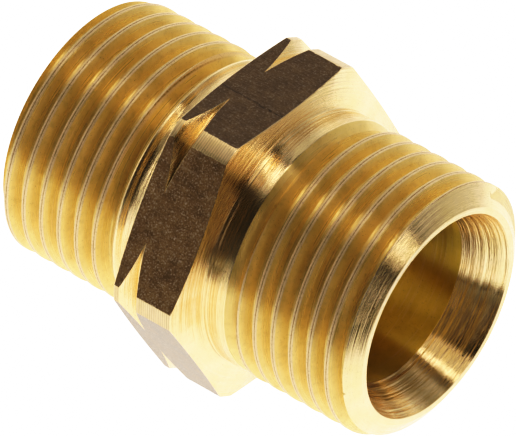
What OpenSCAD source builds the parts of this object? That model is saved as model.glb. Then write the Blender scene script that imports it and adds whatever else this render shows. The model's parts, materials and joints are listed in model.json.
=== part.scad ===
// Hex nipple, G 3/8: a double male union, turned in one piece from hexagonal
// brass bar. The left end (-X) has a left-hand thread, and the groove turned
// across the hexagon's corners marks it. The right end (+X) is right-hand.
// Millimetres. The bore's axis is X, +Z is up, and the origin is the middle
// of the bore, which is also the middle of the hexagon. It lies on a flat.

/* [Body] */
// Length over both end faces
overall_length = 27; // [26:0.5:32]
// Diameter of the straight through bore
bore_d = 11; // [9:0.1:12]

/* [Hexagon] */
// Spanner size, across the flats
across_flats = 19; // [18.6:0.1:21]
// Diameter that the six corners are turned to
corner_d = 21.3; // [20.8:0.1:21.4]
// Width of the turned land on each corner
land_width = 4.26; // [3.6:0.02:4.6]
// Slope of the hexagon's end faces, in degrees from square
hex_face_slope = 11; // [5:1:14]

/* [Marking groove] */
// Distance of the groove from the middle of the hexagon, towards the left
groove_offset = 1.08; // [0.9:0.02:1.2]
// Diameter at the bottom of the groove
groove_bottom_d = 19.24; // [19.1:0.02:20]
// Included angle of the groove, in degrees
groove_angle = 65; // [55:1:70]

/* [Necks] */
// Diameter of the plain neck on the right and of the collar on the left
neck_d = 16.4; // [16:0.1:16.5]
// Distance from the middle to the right neck's edge
right_neck_edge = 4.1; // [3.8:0.1:4.3]
// Distance from the middle to the left collar's outer edge
left_collar_edge = 4.25; // [4.1:0.05:4.4]
// Width of the left collar
left_collar_width = 0.12; // [0.08:0.02:0.6]
// Diameter at the bottom of the undercut that rises from the left collar's foot to the hexagon
undercut_d = 15.85; // [15:0.05:16]
// Slope of the necks' edges, in degrees from the axis
neck_edge_slope = 45; // [35:1:60]

/* [Threads] */
// Outside diameter of the threads
thread_major_d = 16.5; // [16.42:0.01:16.66]
// Diameter at the bottom of the threads
thread_minor_d = 14.95; // [14.9:0.01:15.1]
// Distance from crest to crest, 19 threads to the inch
thread_pitch = 1.337; // [1.3:0.001:1.4]
// Included angle of the thread form, in degrees
thread_angle = 55; // [50:1:60]
// Flat steps in one turn of a thread
thread_steps = 48; // [24:4:60]

/* [Ends] */
// Outside diameter of the flat ring at each end
end_face_d = 14; // [13.6:0.1:14.4]
// Slope of the lead-in chamfers, in degrees from the end face
end_chamfer_slope = 30; // [25:1:40]
// Diameter of each cone seat at its mouth
seat_mouth_d = 13.2; // [12.4:0.1:13.4]
// Included angle of the cone seats, in degrees
seat_angle = 45; // [40:1:60]

/* [Hidden] */

// Round shapes are true curves, so this is only how finely they are drawn
round_fn = 96;
// How far a cutting shape passes beyond the face that it cuts
past = 1;

half_length = overall_length / 2;
minor_r = thread_minor_d / 2;
major_r = thread_major_d / 2;
neck_r = neck_d / 2;
corner_r = corner_d / 2;
undercut_r = undercut_d / 2;
groove_bottom_r = groove_bottom_d / 2;
half_land = land_width / 2;
seat_depth = (seat_mouth_d - bore_d) / 2 / tan(seat_angle / 2);
// Half the width of the groove where it opens on the land
groove_half_width = (corner_r - groove_bottom_r) * tan(groove_angle / 2);
collar_inner = left_collar_edge - left_collar_width;

// The thread ridge is as wide as its gap at this depth below the crest, and so at this radius
pitch_line_depth = 0.347;
pitch_line_r = major_r - pitch_line_depth;
// The ridge's foot is buried this far below the bottom of the thread
foot_depth = 0.085;
// Where each ridge starts, as a distance beyond its neck's edge
right_start_gap = 0.764;
left_start_gap = 0.321;
// The turn angle where each ridge starts, in degrees from +Y towards +Z
right_start_angle = 110;
left_start_angle = 240;
// The ridges grow to full height over these angles
right_growth = 60;
left_growth = 330;

// Axial distance from the middle to a hexagon end face at a radius
function hex_face_at(r) = half_land + (corner_r - r) * tan(hex_face_slope);

// Axial length of a neck's sloping edge down to a radius
function neck_slope_length(r) = (neck_r - r) / tan(neck_edge_slope);

// Half the ridge's axial width at a radius
function ridge_half_width(r) = thread_pitch / 4 - (r - pitch_line_r) * tan(thread_angle / 2);

// Radius of the ridge's crest after it has turned through an angle
function crest_r(angle, growth) =
    let (buried = minor_r - foot_depth / 2)
    min(major_r, buried + (major_r - buried) * angle / growth);

// A solid of revolution about the X axis, from [axial, radius] points
module turned(points) {
    rotate([0, 90, 0])
        rotate_extrude($fn = round_fn)
            polygon([for (p = points) [p[1], p[0]]]);
}

// Hexagonal bar with turned corners, sloping end faces and the marking groove
module hexagon() {
    face_foot = hex_face_at(neck_r);
    intersection() {
        rotate([0, 90, 0])
            rotate([0, 0, 30])
                cylinder(h = overall_length, d = across_flats / cos(30), center = true, $fn = 6);
        turned([
            [-face_foot, 0],
            [-face_foot, neck_r],
            [-half_land, corner_r],
            [-groove_offset - groove_half_width, corner_r],
            [-groove_offset, groove_bottom_r],
            [-groove_offset + groove_half_width, corner_r],
            [half_land, corner_r],
            [face_foot, neck_r],
            [face_foot, 0]
        ]);
    }
}

// Round body from end to end: thread cores, right neck, left collar and undercut
module core() {
    undercut_edge = collar_inner - (neck_r - undercut_r) / tan(neck_edge_slope);
    turned([
        [-half_length, 0],
        [-half_length, minor_r],
        [-left_collar_edge - neck_slope_length(minor_r), minor_r],
        [-left_collar_edge, neck_r],
        [-collar_inner, neck_r],
        [-undercut_edge, undercut_r],
        [-hex_face_at(neck_r), neck_r],
        [right_neck_edge, neck_r],
        [right_neck_edge + neck_slope_length(minor_r), minor_r],
        [half_length, minor_r],
        [half_length, 0]
    ]);
}

// Right-hand helical ridge from a place on the axis to beyond the right end
module thread_ridge(start_x, start_angle, growth) {
    foot_r = minor_r - foot_depth;
    step_angle = 360 / thread_steps;
    steps = ceil((half_length + thread_pitch - start_x) / thread_pitch * thread_steps);
    points = [
        for (i = [0 : steps])
            let (
                turn = i * step_angle,
                angle = start_angle + turn,
                x = start_x + thread_pitch * turn / 360,
                top_r = crest_r(turn, growth)
            )
            for (p = [[-1, foot_r], [-1, top_r], [1, top_r], [1, foot_r]])
                [x + p[0] * ridge_half_width(p[1]), p[1] * cos(angle), p[1] * sin(angle)]
    ];
    sides = [
        for (i = [0 : steps - 1])
            for (j = [0 : 3])
                let (a = 4 * i + j, b = 4 * i + (j + 1) % 4)
                for (face = [[a, b, b + 4], [a, b + 4, a + 4]])
                    face
    ];
    ends = [[3, 2, 1, 0], [for (j = [0 : 3]) 4 * steps + j]];
    polyhedron(points, concat(sides, ends));
}

// Everything outside one end face and its lead-in chamfer
module end_trim() {
    face_r = end_face_d / 2;
    outer_r = major_r + past;
    turned([
        [half_length + thread_pitch * 2, 0],
        [half_length, 0],
        [half_length, face_r],
        [half_length - (outer_r - face_r) * tan(end_chamfer_slope), outer_r],
        [half_length + thread_pitch * 2, outer_r]
    ]);
}

// Straight bore with a cone seat at each end
module bore_and_seats() {
    bore_r = bore_d / 2;
    mouth_x = half_length + past;
    mouth_r = bore_r + (seat_depth + past) * tan(seat_angle / 2);
    turned([
        [-mouth_x, 0],
        [-mouth_x, mouth_r],
        [seat_depth - half_length, bore_r],
        [half_length - seat_depth, bore_r],
        [mouth_x, mouth_r],
        [mouth_x, 0]
    ]);
}

// The whole nipple, one piece of brass
module nipple_body() {
    color("goldenrod")
        difference() {
            union() {
                core();
                hexagon();
                thread_ridge(right_neck_edge + right_start_gap, right_start_angle, right_growth);
                mirror([1, 0, 0])
                    thread_ridge(left_collar_edge + left_start_gap, left_start_angle, left_growth);
            }
            end_trim();
            mirror([1, 0, 0]) end_trim();
            bore_and_seats();
        }
}

nipple_body();
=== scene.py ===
"""Look of the G 3/8 hex nipple: one turned piece of brass with two helical threads of opposite hands.

The CAD node is replaced by a finer mesh of the same size, built here from the same turned profile, with
rounded thread crests and roots, broken edges, and separate finishes for the turned metal, the threads, the
skin of the bar, the hexagon's corner lands and the bore.
Sizes are in millimetres and angles in degrees unless a name says otherwise. Blender's units are metres.
Angles round the axis start at +Y and turn towards +Z.
"""

import json
import math

import bmesh
import bpy
import numpy as np
from mathutils import Matrix, Vector


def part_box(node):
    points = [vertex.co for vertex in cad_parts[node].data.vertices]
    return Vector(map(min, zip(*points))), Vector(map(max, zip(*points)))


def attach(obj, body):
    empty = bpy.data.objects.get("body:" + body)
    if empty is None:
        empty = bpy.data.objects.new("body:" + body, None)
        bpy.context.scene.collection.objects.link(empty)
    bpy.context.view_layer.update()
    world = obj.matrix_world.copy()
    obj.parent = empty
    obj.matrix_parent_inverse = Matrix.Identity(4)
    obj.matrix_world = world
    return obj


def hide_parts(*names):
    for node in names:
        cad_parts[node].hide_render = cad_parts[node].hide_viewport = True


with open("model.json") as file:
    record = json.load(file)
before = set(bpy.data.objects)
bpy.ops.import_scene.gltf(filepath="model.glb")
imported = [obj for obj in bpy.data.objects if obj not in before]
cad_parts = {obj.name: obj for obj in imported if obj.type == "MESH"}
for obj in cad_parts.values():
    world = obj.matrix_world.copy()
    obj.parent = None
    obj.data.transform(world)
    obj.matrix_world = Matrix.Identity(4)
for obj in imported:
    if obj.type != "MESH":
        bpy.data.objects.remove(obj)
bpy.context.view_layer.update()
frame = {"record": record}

MM = 0.001
NODE = "nipple_body"

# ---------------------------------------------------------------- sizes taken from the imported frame
_, box_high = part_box(NODE)
HALF_LENGTH = box_high[0] / MM
FLAT_R = box_high[2] / MM
FLOW_BORE = next(m for m in frame["record"]["mounts"] if m["name"] == "flow_bore")["dims"]
BORE_R = FLOW_BORE["r_mm"]
HALF_BORE = FLOW_BORE["length_mm"] / 2

# ---------------------------------------------------------------- hexagon and marking groove
FLAT_COUNT = 6
SECTOR = 360 / FLAT_COUNT
FIRST_FLAT = 30
CORNER_R = 10.65
HALF_LAND = 2.13
HEX_FACE_SLOPE = 11
GROOVE_X = -1.08
GROOVE_R = 9.62
GROOVE_ANGLE = 65

# ---------------------------------------------------------------- necks and thread reliefs
NECK_R = 8.2
# A faint bead and groove where the hexagon meets the right neck
BEAD_R = 8.23
BEAD_EDGE = 2.82
BEAD_GROOVE = 0.1
UNDERCUT_R = 7.925
RIGHT_NECK_EDGE = 4.1
LEFT_COLLAR_EDGE = 4.25
LEFT_COLLAR_WIDTH = 0.12
RELIEF_R = 7.45
# Where the thread's blank starts to rise out of the relief, and where it reaches full size, for each side
RELIEF_END = {1: 4.85, -1: 5.0}
BLANK_FULL = {1: 5.1, -1: 5.45}

# ---------------------------------------------------------------- threads
PITCH = 1.337
MAJOR_R = 8.25
MINOR_R = 7.475
PITCH_LINE_R = 7.903
FLANK_ANGLE = 27.5
CREST_ROUND = 0.1
ROOT_ROUND = 0.16
# Shallow seam along the middle of the crest
SEAM_HALF = 0.04
SEAM_DEPTH = 0.025
SEAM_ROUND = 0.02
# Distance from the middle to a crest, at angle zero
RIGHT_CREST = 5.792
LEFT_CREST = 5.017

# ---------------------------------------------------------------- ends
END_FACE_R = 7.0
END_CHAMFER_SLOPE = 30
SEAT_MOUTH_R = 6.6
# How far into the bore the end's last ring of faces reaches
BORE_RIM = 1

# ---------------------------------------------------------------- rounding of the outlines' corners
COLLAR_OUTER_ROUND = 0.08
COLLAR_INNER_ROUND = 0.06
UNDERCUT_ROUND = 0.1
HEX_LEFT_FOOT_ROUND = 0.12
HEX_RIGHT_FOOT_ROUND = 0.1
HEX_EDGE_ROUND = 0.05
GROOVE_EDGE_ROUND = 0.02
GROOVE_FOOT_ROUND = 0.08
BEAD_ROUND = 0.02
NECK_EDGE_ROUND = 0.12
END_FACE_ROUND = 0.05
SEAT_MOUTH_ROUND = 0.04
SEAT_FOOT_ROUND = 0.08
# The most that a corner's curve takes of each edge beside it
ROUND_SHARE = 0.45

# ---------------------------------------------------------------- fineness of the mesh
LAND_COLUMNS = 2
FLAT_SIDE_COLUMNS = 12
GROOVE_COLUMNS = 12
OUTLINE_STEPS = 3
THREAD_STEPS = 2
# Points closer than the first of these are made one, and edges shorter than the second are taken out
MERGE_WITHIN = 0.0002
SHORTEST_EDGE = 0.0001
# Turns of thread built beyond each end, before the blank cuts them off
SPARE_TURNS = 2
# Edges steeper than this are shaded as sharp
SHARP_FROM = 30
# A length below this counts as nothing
NOTHING = 1e-9


def tan(angle):
    return math.tan(math.radians(angle))


# ---------------------------------------------------------------- outlines
def rounded(outline, steps):
    """An outline with each inner corner turned into a small curve. Every corner gives steps + 1 points.

    The first and last points are [x, radius], and each corner is [x, radius, radius of its curve].
    """
    points = [np.array(point[:2], float) for point in outline]
    out = [tuple(points[0])]
    for before, corner, after, (_, _, curve) in zip(points, points[1:], points[2:], outline[1:-1]):
        back, ahead = before - corner, after - corner
        back_length, ahead_length = np.linalg.norm(back), np.linalg.norm(ahead)
        if min(back_length, ahead_length) < NOTHING:
            out += [tuple(corner)] * (steps + 1)
            continue
        back, ahead = back / back_length, ahead / ahead_length
        half_turn = math.acos(max(-1.0, min(1.0, float(back @ ahead)))) / 2
        most = ROUND_SHARE * min(back_length, ahead_length)
        reach = min(curve / math.tan(half_turn), most)
        start, end = corner + back * reach, corner + ahead * reach
        for i in range(steps + 1):
            t = i / steps
            out.append(tuple((1 - t) ** 2 * start + 2 * t * (1 - t) * corner + t * t * end))
    return out + [tuple(points[-1])]


def column_angles():
    """Angles of the mesh's columns, with one on each corner, land edge and groove tip."""
    land_edge = math.degrees(math.acos(FLAT_R / CORNER_R))
    groove_tip = math.degrees(math.acos(FLAT_R / GROOVE_R))
    land = np.linspace(-SECTOR / 2, -land_edge, LAND_COLUMNS + 1)[:-1]
    side = np.linspace(-land_edge, -groove_tip, FLAT_SIDE_COLUMNS + 1)[:-1]
    middle = np.linspace(-groove_tip, groove_tip, GROOVE_COLUMNS + 1)
    half = np.concatenate([land, side])
    sector = np.concatenate([half, middle, -half[:0:-1]])
    return np.concatenate([FIRST_FLAT + SECTOR * k + sector for k in range(FLAT_COUNT)])


def flat_radius(angle):
    """Distance from the axis to the hexagon's nearest flat at an angle."""
    from_flat = (angle - FIRST_FLAT + SECTOR / 2) % SECTOR - SECTOR / 2
    return FLAT_R / math.cos(math.radians(from_flat))


def hex_face_at(radius):
    """Distance from the middle to a hexagon end face at a radius."""
    return HALF_LAND + (CORNER_R - radius) * tan(HEX_FACE_SLOPE)


def chamfer_at(radius):
    """Distance from the middle to the lead-in chamfer at a radius."""
    return HALF_LENGTH - (radius - END_FACE_R) * tan(END_CHAMFER_SLOPE)


# Stretches of the middle outline that lie on a flat, counted from the left thread
FLAT_STRETCHES = (5, 8)
# And the walls down into the thread reliefs
RELIEF_STRETCHES = (0, 14)
THREAD_START = {1: RIGHT_NECK_EDGE + NECK_R - RELIEF_R, -1: LEFT_COLLAR_EDGE + NECK_R - RELIEF_R}


def middle_outline(angle):
    """Outline from the left thread's relief, over the hexagon, to the right thread's relief."""
    top = min(CORNER_R, flat_radius(angle))
    groove_reach = max(0.0, top - GROOVE_R) * tan(GROOVE_ANGLE / 2)
    collar_inner = LEFT_COLLAR_EDGE - LEFT_COLLAR_WIDTH
    outline = [
        (-THREAD_START[-1], RELIEF_R),
        (-LEFT_COLLAR_EDGE, NECK_R, COLLAR_OUTER_ROUND),
        (-collar_inner, NECK_R, COLLAR_INNER_ROUND),
        (-collar_inner + (NECK_R - UNDERCUT_R), UNDERCUT_R, UNDERCUT_ROUND),
        (-hex_face_at(NECK_R), NECK_R, HEX_LEFT_FOOT_ROUND),
        (-hex_face_at(top), top, HEX_EDGE_ROUND),
        (GROOVE_X - groove_reach, top, GROOVE_EDGE_ROUND),
        (GROOVE_X, min(top, GROOVE_R), GROOVE_FOOT_ROUND),
        (GROOVE_X + groove_reach, top, GROOVE_EDGE_ROUND),
        (hex_face_at(top), top, HEX_EDGE_ROUND),
        (hex_face_at(BEAD_R), BEAD_R, HEX_RIGHT_FOOT_ROUND),
        (BEAD_EDGE, BEAD_R, BEAD_ROUND),
        (BEAD_EDGE + BEAD_GROOVE / 2, 2 * NECK_R - BEAD_R, BEAD_ROUND),
        (BEAD_EDGE + BEAD_GROOVE, NECK_R, BEAD_ROUND),
        (RIGHT_NECK_EDGE, NECK_R, NECK_EDGE_ROUND),
        (THREAD_START[1], RELIEF_R),
    ]
    return rounded(outline, OUTLINE_STEPS)


def end_outline():
    """Outline from the thread's outer end, round the end face and down the seat to the bore."""
    outline = [
        (chamfer_at(RELIEF_R), RELIEF_R),
        (HALF_LENGTH, END_FACE_R, END_FACE_ROUND),
        (HALF_LENGTH, SEAT_MOUTH_R, SEAT_MOUTH_ROUND),
        (HALF_BORE, BORE_R, SEAT_FOOT_ROUND),
        (HALF_BORE - BORE_RIM, BORE_R),
    ]
    return rounded(outline, OUTLINE_STEPS)


def thread_form():
    """One pitch of the thread's form as [axial, radius], centred on its crest.

    It has one point halfway down each flank, and stops before the point where the next pitch starts.
    """
    crest_half = PITCH / 4 - (MAJOR_R - PITCH_LINE_R) * tan(FLANK_ANGLE)
    root_half = PITCH / 4 - (MINOR_R - PITCH_LINE_R) * tan(FLANK_ANGLE)
    outline = [
        (-PITCH / 2, MINOR_R),
        (-root_half, MINOR_R, ROOT_ROUND),
        (-crest_half, MAJOR_R, CREST_ROUND),
        (-SEAM_HALF, MAJOR_R, SEAM_ROUND),
        (0, MAJOR_R - SEAM_DEPTH, SEAM_ROUND),
        (SEAM_HALF, MAJOR_R, SEAM_ROUND),
        (crest_half, MAJOR_R, CREST_ROUND),
        (root_half, MINOR_R, ROOT_ROUND),
        (PITCH / 2, MINOR_R),
    ]
    form = rounded(outline, THREAD_STEPS)
    root = THREAD_STEPS + 2
    left_root, crest, right_root = form[:root], form[root:-root], form[-root:]
    left_flank = np.add(left_root[-1], crest[0]) / 2
    right_flank = np.add(crest[-1], right_root[0]) / 2
    return np.array([*left_root, left_flank, *crest, right_flank, *right_root[:-1]])


def blank_radius(distance, side):
    """Radius of the turned blank before threading: relief, rise to full size, lead-in chamfer."""
    slope = (MAJOR_R - RELIEF_R) / (BLANK_FULL[side] - RELIEF_END[side])
    rise = RELIEF_R + slope * np.maximum(0.0, distance - RELIEF_END[side])
    chamfer = END_FACE_R + (HALF_LENGTH - distance) / tan(END_CHAMFER_SLOPE)
    return np.minimum(rise, chamfer)


# ---------------------------------------------------------------- mesh building
TURNED, THREAD, SKIN, DRILLED, LAND = range(5)


class Surface:
    """Collects vertices and faces. A ring is a list with one vertex index for each column."""

    def __init__(self):
        self.points = []
        self.faces = []
        self.finishes = []
        self.angles = column_angles()
        self.columns = len(self.angles)
        self.around = [(math.cos(math.radians(a)), math.sin(math.radians(a))) for a in self.angles]

    def vertex(self, x, radius, column):
        y, z = self.around[column]
        self.points.append((x * MM, radius * y * MM, radius * z * MM))
        return len(self.points) - 1

    def ring(self, x, radius):
        return [self.vertex(x, radius, j) for j in range(self.columns)]

    def face(self, corners, finish):
        kept = [c for i, c in enumerate(corners) if c != corners[i - 1]]
        if len(set(kept)) > 2:
            self.faces.append(kept)
            self.finishes.append(finish)

    def strip(self, left, right, finish):
        """Faces between two rings. finish holds one number, or one for each column."""
        for j in range(self.columns):
            k = (j + 1) % self.columns
            here = finish if isinstance(finish, int) else finish[j]
            self.face([left[j], left[k], right[k], right[j]], here)


def add_middle(surface):
    """The hexagon and both necks. Returns the rings at its left and right edges."""
    outlines = [middle_outline(angle) for angle in surface.angles]
    rings = [
        [surface.vertex(*outline[i], j) for j, outline in enumerate(outlines)]
        for i in range(len(outlines[0]))
    ]
    spans = np.diff([*surface.angles, surface.angles[0] + 360])
    middles = surface.angles + spans / 2
    flat_or_land = [SKIN if flat_radius(a) < CORNER_R else LAND for a in middles]
    for i, (left, right) in enumerate(zip(rings, rings[1:])):
        stretch, within = divmod(i, OUTLINE_STEPS + 1)
        finish = TURNED
        if within == 0 and stretch in FLAT_STRETCHES:
            finish = flat_or_land
        elif within == 0 and stretch in RELIEF_STRETCHES:
            finish = THREAD
        surface.strip(left, right, finish)
    return rings[0], rings[-1]


def add_end(surface, side):
    """One end from its chamfer to its seat. Returns the outermost chamfer ring and the bore's ring."""
    rings = [surface.ring(side * x, radius) for x, radius in end_outline()]
    for left, right in zip(rings[:-1], rings[1:-1]):
        surface.strip(left, right, TURNED)
    surface.strip(rings[-2], rings[-1], DRILLED)
    return rings[0], rings[-1]


def thread_column(angle, side, crest, turns):
    """Distances, radii and whether cut by the chamfer, along one column.

    Where the form crosses the blank, the nearest point is moved onto the crossing.
    """
    form = thread_form()
    distance = np.concatenate([crest + PITCH * (angle / 360 + k) + form[:, 0] for k in turns])
    radius = np.tile(form[:, 1], len(turns))
    over = radius - blank_radius(distance, side)
    for i in np.nonzero(over[:-1] * over[1:] < 0)[0]:
        t = over[i] / (over[i] - over[i + 1])
        crossing = distance[i] + t * (distance[i + 1] - distance[i])
        nearer = i if t < 0.5 else i + 1
        distance[nearer] = crossing
        radius[nearer] = blank_radius(crossing, side)
    blank = blank_radius(distance, side)
    on_chamfer = (radius > blank - NOTHING) & (distance > HALF_LENGTH / 2)
    return distance, np.minimum(radius, blank), on_chamfer


def add_thread(surface, side, crest, inner, outer):
    """A helical thread between two rings. side is 1 for the right end and -1 for the left.

    The thread moves one pitch along in a turn, so the last column joins the first one pitch further on.
    """
    start, end = THREAD_START[side], chamfer_at(RELIEF_R)
    first, last = math.floor((start - crest) / PITCH), math.ceil((end - crest) / PITCH)
    turns = range(first - SPARE_TURNS, last + SPARE_TURNS)
    per_turn = len(thread_form())
    grid, cuts = [], []
    for j, angle in enumerate(surface.angles):
        column = []
        distances, radii, cut = thread_column(angle, side, crest, turns)
        for distance, radius in zip(distances, radii):
            if distance <= start:
                column.append(inner[j])
            elif distance >= end:
                column.append(outer[j])
            else:
                column.append(surface.vertex(side * distance, radius, j))
        grid.append(column)
        cuts.append(cut)
    rows = len(grid[0])
    for j in range(surface.columns):
        k = (j + 1) % surface.columns
        shift = 0 if k else per_turn
        for n in range(rows - 1 - shift):
            finish = TURNED if cuts[j][n] and cuts[j][n + 1] else THREAD
            corners = [grid[j][n], grid[k][n + shift], grid[k][n + 1 + shift], grid[j][n + 1]]
            surface.face(corners, finish)


def make_mesh(name, surface):
    """A closed smooth mesh, with sharp edges where the bar's skin meets another finish and at steep corners.
    """
    sharp_from = math.radians(SHARP_FROM)
    mesh = bpy.data.meshes.new(name)
    mesh.from_pydata(surface.points, [], surface.faces)
    mesh.polygons.foreach_set("material_index", surface.finishes)
    work = bmesh.new()
    work.from_mesh(mesh)
    bmesh.ops.remove_doubles(work, verts=work.verts, dist=MERGE_WITHIN * MM)
    bmesh.ops.dissolve_degenerate(work, edges=work.edges, dist=SHORTEST_EDGE * MM)
    bmesh.ops.recalc_face_normals(work, faces=work.faces)
    for face in work.faces:
        face.smooth = True
    for edge in work.edges:
        slots = {face.material_index for face in edge.link_faces}
        steep = len(edge.link_faces) == 2 and edge.calc_face_angle() > sharp_from
        edge.smooth = not (steep or (SKIN in slots and len(slots) > 1))
    work.to_mesh(mesh)
    work.free()
    return mesh


def nipple_visual():
    """The whole nipple as one closed surface."""
    surface = Surface()
    inner = dict(zip((-1, 1), add_middle(surface)))
    bore = {}
    for side, crest in ((1, RIGHT_CREST), (-1, LEFT_CREST)):
        outer, bore[side] = add_end(surface, side)
        add_thread(surface, side, crest, inner[side], outer)
    surface.strip(bore[-1], bore[1], DRILLED)
    mesh = make_mesh("nipple_visual", surface)
    for material in (turned_brass(), thread_brass(), bar_skin(), drilled_brass(), land_brass()):
        mesh.materials.append(material)
    piece = bpy.data.objects.new("nipple_visual", mesh)
    bpy.context.scene.collection.objects.link(piece)
    normals = piece.modifiers.new("normals", "WEIGHTED_NORMAL")
    normals.keep_sharp = True
    return piece


# ---------------------------------------------------------------- materials
class Nodes:
    """Short calls for building a node tree."""

    def __init__(self, tree):
        self.tree = tree
        self.tree.nodes.clear()

    def add(self, kind, inputs=None, **settings):
        node = self.tree.nodes.new(kind)
        for key, value in settings.items():
            setattr(node, key, value)
        for key, value in (inputs or {}).items():
            if isinstance(value, bpy.types.NodeSocket):
                self.tree.links.new(value, node.inputs[key])
            else:
                node.inputs[key].default_value = value
        return node

    def math(self, operation, *values):
        return self.add("ShaderNodeMath", dict(enumerate(values)), operation=operation).outputs[0]

    def vector(self, operation, *values):
        node = self.add("ShaderNodeVectorMath", dict(enumerate(values)), operation=operation)
        return node.outputs["Value" if operation in ("DOT_PRODUCT", "LENGTH") else "Vector"]

    def combine(self, x, y, z):
        return self.add("ShaderNodeCombineXYZ", {0: x, 1: y, 2: z}).outputs[0]

    def noise(self, vector, scale, detail=2.0, roughness=0.5):
        inputs = {"Vector": vector, "Scale": scale, "Detail": detail, "Roughness": roughness}
        return self.add("ShaderNodeTexNoise", inputs).outputs["Fac"]

    def between(self, value, low, high, out_low=0.0, out_high=1.0):
        """value stretched from low..high to out_low..out_high, and held there."""
        inputs = {0: value, 1: low, 2: high, 3: out_low, 4: out_high}
        return self.add("ShaderNodeMapRange", inputs, clamp=True).outputs[0]

    def mix(self, factor, a, b):
        node = self.add("ShaderNodeMix", data_type="RGBA")
        for socket, value in zip((node.inputs[0], node.inputs[6], node.inputs[7]), (factor, a, b)):
            if isinstance(value, bpy.types.NodeSocket):
                self.tree.links.new(value, socket)
            else:
                socket.default_value = value
        return node.outputs[2]

    def bump(self, height, distance_mm, normal=None):
        inputs = {"Height": height, "Distance": distance_mm * MM}
        if normal is not None:
            inputs["Normal"] = normal
        return self.add("ShaderNodeBump", inputs).outputs[0]


class Around:
    """Places on a turned part in mm: x along the axis, r from it and arc round it."""

    # Angle at which the arc's two ends meet, on the underside
    SEAM = 300

    def __init__(self, nodes):
        place = nodes.add("ShaderNodeTexCoord").outputs["Object"]
        split = nodes.add("ShaderNodeSeparateXYZ", {0: place}).outputs
        self.place = nodes.vector("MULTIPLY", place, (1 / MM,) * 3)
        self.x = nodes.math("MULTIPLY", split[0], 1 / MM)
        flat = nodes.combine(0.0, split[1], split[2])
        self.r = nodes.math("MULTIPLY", nodes.vector("LENGTH", flat), 1 / MM)
        across = math.radians(self.SEAM - 180)
        ahead = (0.0, math.cos(across), math.sin(across))
        aside = (0.0, -math.sin(across), math.cos(across))
        ahead, aside = nodes.vector("DOT_PRODUCT", flat, ahead), nodes.vector("DOT_PRODUCT", flat, aside)
        self.turn = nodes.math("DIVIDE", nodes.math("ARCTAN2", aside, ahead), 2 * math.pi)
        self.arc = nodes.math("MULTIPLY", self.turn, 2 * math.pi * MAJOR_R)
        self.tangent = nodes.vector("NORMALIZE", nodes.vector("CROSS_PRODUCT", (1.0, 0.0, 0.0), flat))


def new_material(name):
    material = bpy.data.materials.new(name)
    material.use_nodes = True
    return material, Nodes(material.node_tree)


def finish_material(nodes, inputs):
    shader = nodes.add("ShaderNodeBsdfPrincipled", inputs)
    nodes.add("ShaderNodeOutputMaterial", {"Surface": shader.outputs[0]})


BRASS = (0.94, 0.71, 0.39, 1)
BRASS_DEEP = (0.89, 0.66, 0.31, 1)
THREAD_GOLD = (1.0, 0.735, 0.285, 1)
THREAD_OLIVE = (0.88, 0.64, 0.23, 1)
CREST_PALE = (1.0, 0.76, 0.43, 1)
SEAM_SHADE_AND_SPECK_BROWN = (0.42, 0.23, 0.06, 1)
BRASS_PINK = (0.98, 0.73, 0.47, 1)
BORE_GOLD = (0.84, 0.60, 0.12, 1)
BORE_BROWN = (0.72, 0.50, 0.09, 1)
GRIME = (0.16, 0.09, 0.035, 1)
# Specular level of the brass and of the bar's skin, lower than the usual 0.5
SPECULAR = 0.2
# Spacing of the tool marks on the hexagon's corner lands
LAND_MARKS = 0.16
# Where the pale metal on a thread's crest starts and is full: distance from the crest, and radius
CREST_EDGE = (0.18, 0.14)
CREST_FOOT = (7.9, 8.1)
# Distances from the crest at which the painted shade in the seam starts and is full
SEAM_SHADE_EDGE = (0.05, 0.015)
# A noise is seldom outside this middle stretch
MOST_NOISE = (0.3, 0.7)


class Cut:
    """Marks that every cut surface has: rings round the part, ticks along it, blotches and specks."""

    # The noise is slowed by these along the marks, which draws them out
    RING_STRETCH = 0.025
    TICK_STRETCH = 0.35
    # Depth of the coarse rings against the fine ones
    COARSE_SHARE = 1.5

    def __init__(self, nodes, at, x):
        slow_arc = nodes.math("MULTIPLY", at.arc, self.RING_STRETCH)
        rings = nodes.combine(x, at.r, slow_arc)
        self.fine = nodes.noise(rings, scale=9.0, detail=3.0, roughness=0.6)
        self.coarse = nodes.noise(rings, scale=3.0, detail=1.0)
        self.lines = nodes.math("ADD", self.fine, nodes.math("MULTIPLY", self.coarse, self.COARSE_SHARE))
        slow_x = nodes.math("MULTIPLY", at.x, self.TICK_STRETCH)
        self.ticks = nodes.noise(nodes.combine(slow_x, 0.0, at.arc), scale=7.5)
        self.blotch = nodes.noise(at.place, scale=0.5, detail=3.0, roughness=0.6)
        self.mottle = nodes.noise(at.place, scale=2.4, detail=3.0, roughness=0.6)
        self.speckle = nodes.noise(at.place, scale=14.0)


def cut_colour(nodes, cut, tones, mottle):
    """Two tones in blotches, pink on the brightest tool marks and specks of dark dirt."""
    colour = nodes.mix(nodes.between(cut.blotch, 0.35, 0.7), *tones)
    dull = nodes.mix(0.5, tones[1], GRIME)
    colour = nodes.mix(nodes.between(cut.mottle, 0.5, 0.75, 0.0, mottle), colour, dull)
    colour = nodes.mix(nodes.between(cut.fine, 0.56, 0.8, 0.0, 0.4), colour, BRASS_PINK)
    return nodes.mix(nodes.between(cut.speckle, 0.64, 0.76, 0.0, 0.6), colour, GRIME)


def finish_brass(nodes, at, colour, metallic, roughness, normal):
    """Smoother round the part than along it, as tool marks leave it, so that reflections smear along it."""
    finish_material(nodes, {
        "Base Color": colour,
        "Metallic": metallic,
        "Roughness": roughness,
        "Specular IOR Level": SPECULAR,
        "Anisotropic": 1.0,
        "Anisotropic Rotation": 0.25,
        "Tangent": at.tangent,
        "Normal": normal,
    })


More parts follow.
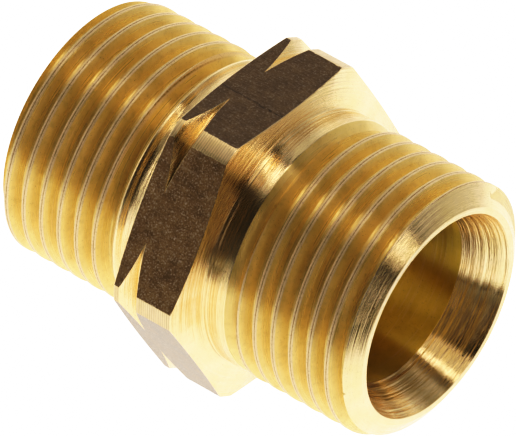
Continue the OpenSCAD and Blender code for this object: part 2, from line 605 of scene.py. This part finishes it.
def plain_brass(name, tones, metallic, roughness, line_depth, tick_depth):
    """Brass cut by a tool that left fine rings. roughness is its range, and the depths are in mm."""
    material, nodes = new_material(name)
    at = Around(nodes)
    cut = Cut(nodes, at, at.x)
    colour = cut_colour(nodes, cut, tones, mottle=0.1)
    rough = nodes.between(cut.coarse, *MOST_NOISE, *roughness)
    normal = nodes.bump(cut.lines, line_depth)
    normal = nodes.bump(cut.ticks, tick_depth, normal)
    finish_brass(nodes, at, colour, metallic, rough, normal)
    return material


def turned_brass():
    tones = BRASS, BRASS_DEEP
    depths = {"line_depth": 0.04, "tick_depth": 0.0015}
    return plain_brass("turned brass", tones, metallic=0.92, roughness=(0.14, 0.23), **depths)


def drilled_brass():
    tones = BORE_GOLD, BORE_BROWN
    depths = {"line_depth": 0.006, "tick_depth": 0.004}
    return plain_brass("drilled brass", tones, metallic=1.0, roughness=(0.38, 0.47), **depths)


def land_brass():
    """The corner lands, with even tool marks round them."""
    material, nodes = new_material("land brass")
    at = Around(nodes)
    cut = Cut(nodes, at, at.x)
    wave = nodes.math("SINE", nodes.math("MULTIPLY", at.x, 2 * math.pi / LAND_MARKS))
    marks = nodes.math("ADD", wave, nodes.between(cut.fine, *MOST_NOISE, -0.6, 0.6))
    colour = cut_colour(nodes, cut, (BRASS, BRASS_DEEP), mottle=0.2)
    colour = nodes.mix(nodes.between(marks, 0.2, -1.2, 0.0, 0.35), colour, GRIME)
    normal = nodes.bump(marks, distance_mm=0.008)
    finish_brass(nodes, at, colour, metallic=0.6, roughness=0.3, normal=normal)
    return material


def from_thread_crest(nodes, at, helical):
    """Distance along the axis to the nearest crest of the thread."""
    lead_at_zero_turn = PITCH * (Around.SEAM - 180) / 360
    left, right = LEFT_CREST + lead_at_zero_turn, RIGHT_CREST + lead_at_zero_turn
    crest_at = nodes.between(at.x, -HALF_LAND, HALF_LAND, left, right)
    turns = nodes.math("DIVIDE", nodes.math("SUBTRACT", helical, crest_at), PITCH)
    part_turn = nodes.math("SUBTRACT", nodes.math("FRACT", nodes.math("ADD", turns, 0.5)), 0.5)
    return nodes.math("MULTIPLY", nodes.math("ABSOLUTE", part_turn), PITCH)


def thread_brass():
    """Threads: golden flanks, with pale metal on the crests and painted brown shade in their seam."""
    material, nodes = new_material("thread brass")
    at = Around(nodes)
    helical = nodes.math("SUBTRACT", nodes.math("ABSOLUTE", at.x), nodes.math("MULTIPLY", at.turn, PITCH))
    cut = Cut(nodes, at, helical)
    off = from_thread_crest(nodes, at, helical)
    crest = nodes.math("MULTIPLY", nodes.between(off, *CREST_EDGE), nodes.between(at.r, *CREST_FOOT))
    seam = nodes.math("MULTIPLY", crest, nodes.between(off, *SEAM_SHADE_EDGE))
    broken = nodes.between(nodes.noise(at.place, scale=6.0, detail=3.0, roughness=0.7), 0.4, 0.6, 0.5, 1.0)
    colour = cut_colour(nodes, cut, (THREAD_GOLD, THREAD_OLIVE), mottle=0.3)
    colour = nodes.mix(crest, colour, CREST_PALE)
    # Painted shade along the middle of each crest, in its seam, broken up by noise; the brown specks on the
    # crests are wear
    seam_shade = nodes.math("MULTIPLY", seam, broken)
    worn = nodes.math("MULTIPLY", crest, nodes.between(cut.speckle, 0.54, 0.70, 0.0, 0.6))
    colour = nodes.mix(nodes.math("MAXIMUM", seam_shade, worn), colour, SEAM_SHADE_AND_SPECK_BROWN)
    metallic = nodes.between(crest, 0.0, 1.0, 0.5, 0.4)
    rough = nodes.between(cut.coarse, *MOST_NOISE, 0.24, 0.32)
    rough = nodes.math("ADD", rough, nodes.math("MULTIPLY", crest, 0.1))
    normal = nodes.bump(cut.fine, distance_mm=0.006)
    normal = nodes.bump(cut.ticks, distance_mm=0.004, normal=normal)
    finish_brass(nodes, at, colour, metallic, rough, normal)
    return material


SKIN_BROWN = (0.36, 0.225, 0.10, 1)
SKIN_DARK = (0.18, 0.11, 0.045, 1)
SKIN_PALE = (0.85, 0.68, 0.50, 1)
SKIN_SHADE = (0.10, 0.065, 0.028, 1)
SCRATCH_DARK = (0.02, 0.012, 0.005, 1)
# The noise of the drawn lines is slowed by this along the bar, which draws it out
DRAWN_STRETCH = 0.12
# The scratch on the top flat: where it lies, how far it wanders, half its width from clean to full, and
# how far below the flat it stops
SCRATCH_Y = -0.9
SCRATCH_WANDER = 0.1
SCRATCH_HALF = (0.09, 0.03)
SCRATCH_DEPTH = (0.2, 0.1)
# Width of the worn strip along the hexagon's end faces and along its corner lands, and how uneven it is
WORN_FACE = 0.03
WORN_LAND = 0.015
WORN_DASHES = (-0.04, 0.05)
# Painted shade darkens the top flat and those behind it against the near one, and a painted reflection of
# the white floor makes those underneath paler. Where each change lies, in parts of a turn from the edge
# between the top flat and the near one
PAINTED_SHADE_FLATS = (0.01, -0.01)
PAINTED_FLOOR_REFLECTION_FLATS = (0.16, 0.18)


def worn_edges(nodes, at):
    """How far the skin is rubbed off, in dashes along the hexagon's edges."""
    face = nodes.math("MULTIPLY_ADD", at.r, -tan(HEX_FACE_SLOPE), hex_face_at(0))
    from_face = nodes.math("SUBTRACT", face, nodes.math("ABSOLUTE", at.x))
    from_land = nodes.math("SUBTRACT", CORNER_R, at.r)
    broken = nodes.noise(at.place, scale=5.0, detail=3.0, roughness=0.7)
    dashes = nodes.between(broken, 0.4, 0.7, *WORN_DASHES)
    half_dashes = nodes.math("MULTIPLY", dashes, WORN_LAND / WORN_FACE)
    near_face = nodes.between(nodes.math("SUBTRACT", from_face, dashes), WORN_FACE, 0.0)
    near_land = nodes.between(nodes.math("SUBTRACT", from_land, half_dashes), WORN_LAND, 0.0)
    return nodes.math("MAXIMUM", near_face, near_land)


def scratch(nodes, at):
    """One long dark scratch along the bar, on the top flat."""
    split = nodes.add("ShaderNodeSeparateXYZ", {0: at.place}).outputs
    bend = nodes.noise(at.place, scale=1.5)
    middle = nodes.between(bend, *MOST_NOISE, SCRATCH_Y - SCRATCH_WANDER, SCRATCH_Y + SCRATCH_WANDER)
    off = nodes.math("ABSOLUTE", nodes.math("SUBTRACT", split[1], middle))
    thin = nodes.between(off, *SCRATCH_HALF)
    on_top = nodes.between(split[2], *(FLAT_R - depth for depth in SCRATCH_DEPTH))
    whole = nodes.between(nodes.noise(at.place, scale=4.0), 0.35, 0.6, 0.2, 1.0)
    return nodes.math("MULTIPLY", nodes.math("MULTIPLY", thin, on_top), whole)


def bar_skin():
    """Brown drawn skin of the hexagonal bar, with pale specks and fine lines along the bar."""
    material, nodes = new_material("bar skin")
    at = Around(nodes)
    stretched = nodes.vector("MULTIPLY", at.place, (DRAWN_STRETCH, 1.0, 1.0))
    drawn = nodes.noise(stretched, scale=7.0, detail=3.0, roughness=0.6)
    cloud = nodes.noise(at.place, scale=1.1, detail=4.0, roughness=0.65)
    speck = nodes.noise(at.place, scale=9.0, detail=3.0, roughness=0.7)
    colour = nodes.mix(nodes.between(cloud, *MOST_NOISE), SKIN_DARK, SKIN_BROWN)
    colour = nodes.mix(nodes.between(drawn, 0.58, 0.8, 0.0, 0.2), colour, SKIN_PALE)
    colour = nodes.mix(nodes.between(speck, 0.55, 0.68, 0.0, 0.6), colour, SKIN_PALE)
    colour = nodes.mix(nodes.between(speck, 0.46, 0.32, 0.0, 0.7), colour, SKIN_SHADE)
    # Painted shade on the top flat and the flats behind it
    colour = nodes.mix(nodes.between(at.turn, *PAINTED_SHADE_FLATS, 0.0, 0.55), colour, SKIN_SHADE)
    # Painted reflection of the white floor on the flats underneath
    colour = nodes.mix(nodes.between(at.turn, *PAINTED_FLOOR_REFLECTION_FLATS, 0.0, 0.35), colour, SKIN_PALE)
    colour = nodes.mix(nodes.math("MULTIPLY", scratch(nodes, at), 0.65), colour, SCRATCH_DARK)
    worn = worn_edges(nodes, at)
    finish_material(nodes, {
        "Base Color": nodes.mix(worn, colour, BRASS),
        "Metallic": nodes.math("MULTIPLY", worn, 0.7),
        "Roughness": nodes.between(cloud, *MOST_NOISE, 0.28, 0.36),
        "Specular IOR Level": SPECULAR,
        "Normal": nodes.bump(nodes.math("ADD", speck, drawn), distance_mm=0.03),
    })
    return material


# ---------------------------------------------------------------- camera
CAMERA_AZIMUTH = 38.44
CAMERA_ELEVATION = 40.734
CAMERA_ROLL = 1.545
CAMERA_DISTANCE = 664.5
CAMERA_LENS = 792.8
# Point on the part's axis that the camera faces, and the camera's shift to its own right and upwards
CAMERA_AIM_X = 0.12
CAMERA_SHIFT = (-0.1186, 0.0073)
# Nearest and furthest distance that the camera sees, in metres
CAMERA_CLIP = (0.01, 10)

# ---------------------------------------------------------------- studio
FLOOR_Z = -FLAT_R
FLOOR_HALF = 400
# Brightness of the lit part of the floor and of the rest
FLOOR_GLOW = 1.5
FLOOR_GLOW_BEYOND = 0.3
# The lit part of the floor fades out between these distances in front of the part, towards the camera
LIT_EDGE = (30, 50)
# And between these distances to its right, but not behind it
LIT_RIGHT_EDGE = (32, 52)
LIT_BEHIND_EDGE = (20, 70)
LIT_RIGHT_LOSS = 0.95
# All light is weaker towards the right: by how much, over these distances on the floor and in the tent
RIGHT_LOSS = 0.55
FLOOR_RIGHT_EDGE = (20, 60)
TENT_RIGHT_EDGE = (0.1, 0.7)
# The tent is a tunnel over the part, turned this much from the part's axis
TENT_TURN = 14.7
# Brightness round the tunnel by angle, where 0 is behind the part, 90 is overhead and 180 is in front of it
TENT = [
    (-180, 0.5), (-172, 0.9), (-150, 1.3), (-90, 1.4), (-12, 1.3), (11, 1.2), (30, 1.25), (41, 0.75),
    (52, 0.45), (64, 0.62), (70, 0.70), (76, 0.15), (83, 0.04), (98, 0.04), (102, 0.6), (106, 0.5),
    (112, 0.10), (120, 0.012), (145, 0.015), (170, 0.06), (180, 0.25),
]
# Brightness that the tent's colour ramp shows as full
TENT_PEAK = 2.0
# The tunnel's left and right ends: where each starts and is full, and its brightness
TENT_LEFT_REACH = (-0.87, -0.96)
TENT_LEFT_END = 1.4
TENT_RIGHT_REACH = (0.98, 1.0)
TENT_RIGHT_END = 0.05
# Every light in the tent ends softly above the horizon, between these heights
HORIZON = (0.0, 0.01)
# Strip lights along the tunnel, one overhead and one low. Each has its place behind the middle line, the
# edges of its half width from dark to full, and the heights between which it comes in
STRIPS = [
    (-0.035, (0.08, 0.04), (0.76, 0.84)),
    (0.0, (0.13, 0.08), (0.3, 0.2)),
]
STRIP_LIGHT = (3.6, 3.25, 2.95, 1)
# A light in the ceiling, a little to the front: its middle along the tunnel and across it, and the edges of
# its half length and half width from dark to full
CEILING_MIDDLE = (0.15, -0.26)
CEILING_EDGES = (0.25, 0.15), (0.18, 0.12)
CEILING_LIGHT = (1.4, 1.25, 1.1, 1)
# A narrow upright light to the right of the camera: the ways to its ends, the edges of its half width and
# of its reach from dark to full, and its colour
SIDE_LIGHT_TOP = Vector((0.88, -0.31, 0.35)).normalized()
SIDE_LIGHT_FOOT = Vector((0.81, -0.57, -0.13)).normalized()
SIDE_LIGHT_HALF = (0.10, 0.05)
SIDE_LIGHT_REACH = (0.92, 0.96)
SIDE_LIGHT = (1.5, 1.3, 1.15, 1)

# ---------------------------------------------------------------- film
# Light from the scene and how bright the film shows it, up to the light that it shows as white
FILM_WHITE = 1.6
RESPONSE = [(0.06, 0.025), (0.13, 0.08), (0.25, 0.20), (0.4, 0.39), (0.7, 0.70), (0.95, 0.88), (1.3, 0.98)]


def grey(level):
    return (level, level, level, 1)


def off_middle(nodes, place, middle):
    """How far a place is from a middle, on either side."""
    return nodes.math("ABSOLUTE", nodes.math("SUBTRACT", place, middle))


class Tent:
    """Where a direction points in the tent: along the tunnel, to its back, upwards, and how far round it."""

    def __init__(self, nodes):
        self.way = nodes.add("ShaderNodeTexCoord").outputs["Generated"]
        cos_turn, sin_turn = math.cos(math.radians(TENT_TURN)), math.sin(math.radians(TENT_TURN))
        self.along = nodes.vector("DOT_PRODUCT", self.way, (cos_turn, sin_turn, 0.0))
        self.behind = nodes.vector("DOT_PRODUCT", self.way, (-sin_turn, cos_turn, 0.0))
        self.above = nodes.vector("DOT_PRODUCT", self.way, (0.0, 0.0, 1.0))
        turn = nodes.math("DIVIDE", nodes.math("ARCTAN2", self.above, self.behind), 2 * math.pi)
        self.part_turn = nodes.math("ADD", turn, 0.5)
        self.over_horizon = nodes.between(self.above, *HORIZON)


def tent_bands(nodes, tent):
    """Bands of light and shade along the tunnel, and its two ends."""
    ramp = nodes.add("ShaderNodeValToRGB", {0: tent.part_turn})
    elements = ramp.color_ramp.elements
    for angle, brightness in TENT[1:-1]:
        elements.new((angle + 180) / 360).color = grey(brightness / TENT_PEAK)
    for i in (0, -1):
        elements[i].color = grey(TENT[i][1] / TENT_PEAK)
    peak = nodes.between(tent.along, *TENT_RIGHT_EDGE, TENT_PEAK, TENT_PEAK * (1 - RIGHT_LOSS))
    level = nodes.math("MULTIPLY", ramp.outputs[0], peak)
    level = nodes.combine(level, level, level)
    level = nodes.mix(nodes.between(tent.along, *TENT_RIGHT_REACH), level, grey(TENT_RIGHT_END))
    return nodes.mix(nodes.between(tent.along, *TENT_LEFT_REACH), level, grey(TENT_LEFT_END))


def add_strips(nodes, tent, level):
    for middle, edges, heights in STRIPS:
        across = nodes.between(off_middle(nodes, tent.behind, middle), *edges)
        lit = nodes.math("MULTIPLY", across, nodes.between(tent.above, *heights))
        level = nodes.mix(nodes.math("MULTIPLY", lit, tent.over_horizon), level, STRIP_LIGHT)
    return level


def add_ceiling_light(nodes, tent, level):
    along, across = (
        nodes.between(off_middle(nodes, place, middle), *edges)
        for place, middle, edges in zip((tent.along, tent.behind), CEILING_MIDDLE, CEILING_EDGES)
    )
    lit = nodes.math("MULTIPLY", nodes.math("MULTIPLY", along, across), tent.over_horizon)
    return nodes.mix(lit, level, CEILING_LIGHT)


def add_side_light(nodes, tent, level):
    across = SIDE_LIGHT_TOP.cross(SIDE_LIGHT_FOOT).normalized()
    middle = (SIDE_LIGHT_TOP + SIDE_LIGHT_FOOT).normalized()
    aside = nodes.math("ABSOLUTE", nodes.vector("DOT_PRODUCT", tent.way, across))
    within = nodes.between(nodes.vector("DOT_PRODUCT", tent.way, middle), *SIDE_LIGHT_REACH)
    lit = nodes.math("MULTIPLY", nodes.between(aside, *SIDE_LIGHT_HALF), within)
    return nodes.mix(lit, level, SIDE_LIGHT)


def tent_world():
    """A soft tent: white as a backdrop, with bands of light and shade along the part in reflections."""
    world = bpy.data.worlds.new("tent")
    world.use_nodes = True
    nodes = Nodes(world.node_tree)
    tent = Tent(nodes)
    level = tent_bands(nodes, tent)
    level = add_strips(nodes, tent, level)
    level = add_ceiling_light(nodes, tent, level)
    level = add_side_light(nodes, tent, level)
    seen = nodes.add("ShaderNodeLightPath").outputs["Is Camera Ray"]
    colour = nodes.mix(seen, level, grey(FILM_WHITE))
    background = nodes.add("ShaderNodeBackground", {"Color": colour, "Strength": 1.0})
    nodes.add("ShaderNodeOutputWorld", {"Surface": background.outputs[0]})
    bpy.context.scene.world = world


def lit_floor():
    """White to the camera, and lit from beneath in reflections, most around the part."""
    material, nodes = new_material("light table")
    azimuth = math.radians(CAMERA_AZIMUTH)
    toward_camera = (math.sin(azimuth) / MM, -math.cos(azimuth) / MM, 0.0)
    place = nodes.add("ShaderNodeTexCoord").outputs["Object"]
    nearness = nodes.vector("DOT_PRODUCT", place, toward_camera)
    lit = nodes.between(nearness, *LIT_EDGE, FLOOR_GLOW, FLOOR_GLOW_BEYOND)
    split = nodes.add("ShaderNodeSeparateXYZ", {0: nodes.vector("MULTIPLY", place, (1 / MM,) * 3)}).outputs
    beside = nodes.between(split[0], *LIT_RIGHT_EDGE)
    beside = nodes.math("MULTIPLY", beside, nodes.between(split[1], *reversed(LIT_BEHIND_EDGE)))
    lit = nodes.math("MULTIPLY", lit, nodes.between(beside, 0.0, 1.0, 1.0, 1 - LIT_RIGHT_LOSS))
    lit = nodes.math("MULTIPLY", lit, nodes.between(split[0], *FLOOR_RIGHT_EDGE, 1.0, 1 - RIGHT_LOSS))
    seen = nodes.add("ShaderNodeLightPath").outputs["Is Camera Ray"]
    strength = nodes.math("MAXIMUM", lit, nodes.math("MULTIPLY", seen, FILM_WHITE))
    glow = nodes.add("ShaderNodeEmission", {"Color": (1, 1, 1, 1), "Strength": strength})
    nodes.add("ShaderNodeOutputMaterial", {"Surface": glow.outputs[0]})
    return material


def light_table():
    """The plain white floor."""
    half = FLOOR_HALF * MM
    square = (-half, -half), (half, -half), (half, half), (-half, half)
    corners = [(x, y, FLOOR_Z * MM) for x, y in square]
    mesh = bpy.data.meshes.new("floor")
    mesh.from_pydata(corners, [], [(0, 1, 2, 3)])
    mesh.materials.append(lit_floor())
    floor = bpy.data.objects.new("floor", mesh)
    bpy.context.scene.collection.objects.link(floor)


def camera():
    """A distant long lens at three-quarter view, above the part's near end."""
    azimuth, elevation = math.radians(CAMERA_AZIMUTH), math.radians(CAMERA_ELEVATION)
    roll = math.radians(CAMERA_ROLL)
    level = math.cos(elevation)
    back = Vector((level * math.sin(azimuth), -level * math.cos(azimuth), math.sin(elevation)))
    right = (-back).cross(Vector((0, 0, 1))).normalized()
    up = right.cross(-back)
    right, up = (
        math.cos(roll) * right + math.sin(roll) * up,
        math.cos(roll) * up - math.sin(roll) * right,
    )
    data = bpy.data.cameras.new("camera")
    data.lens = CAMERA_LENS
    data.clip_start, data.clip_end = CAMERA_CLIP
    aim = Vector((CAMERA_AIM_X, 0, 0))
    place = back * CAMERA_DISTANCE + right * CAMERA_SHIFT[0] + up * CAMERA_SHIFT[1] + aim
    view = bpy.data.objects.new("camera", data)
    view.matrix_world = Matrix.Translation(place * MM) @ Matrix((right, up, back)).transposed().to_4x4()
    bpy.context.scene.collection.objects.link(view)
    bpy.context.scene.camera = view


def film_response():
    """Display with the gentle toe and shoulder of a camera's film response."""
    view = bpy.context.scene.view_settings
    view.view_transform = "Standard"
    view.use_curve_mapping = True
    mapping = view.curve_mapping
    mapping.white_level = (FILM_WHITE,) * 3
    for scene_light, shown in RESPONSE:
        mapping.curves[3].points.new(scene_light / FILM_WHITE, shown)
    mapping.update()


film_response()
tent_world()
light_table()
camera()
piece = nipple_visual()
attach(piece, "root")
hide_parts(NODE)
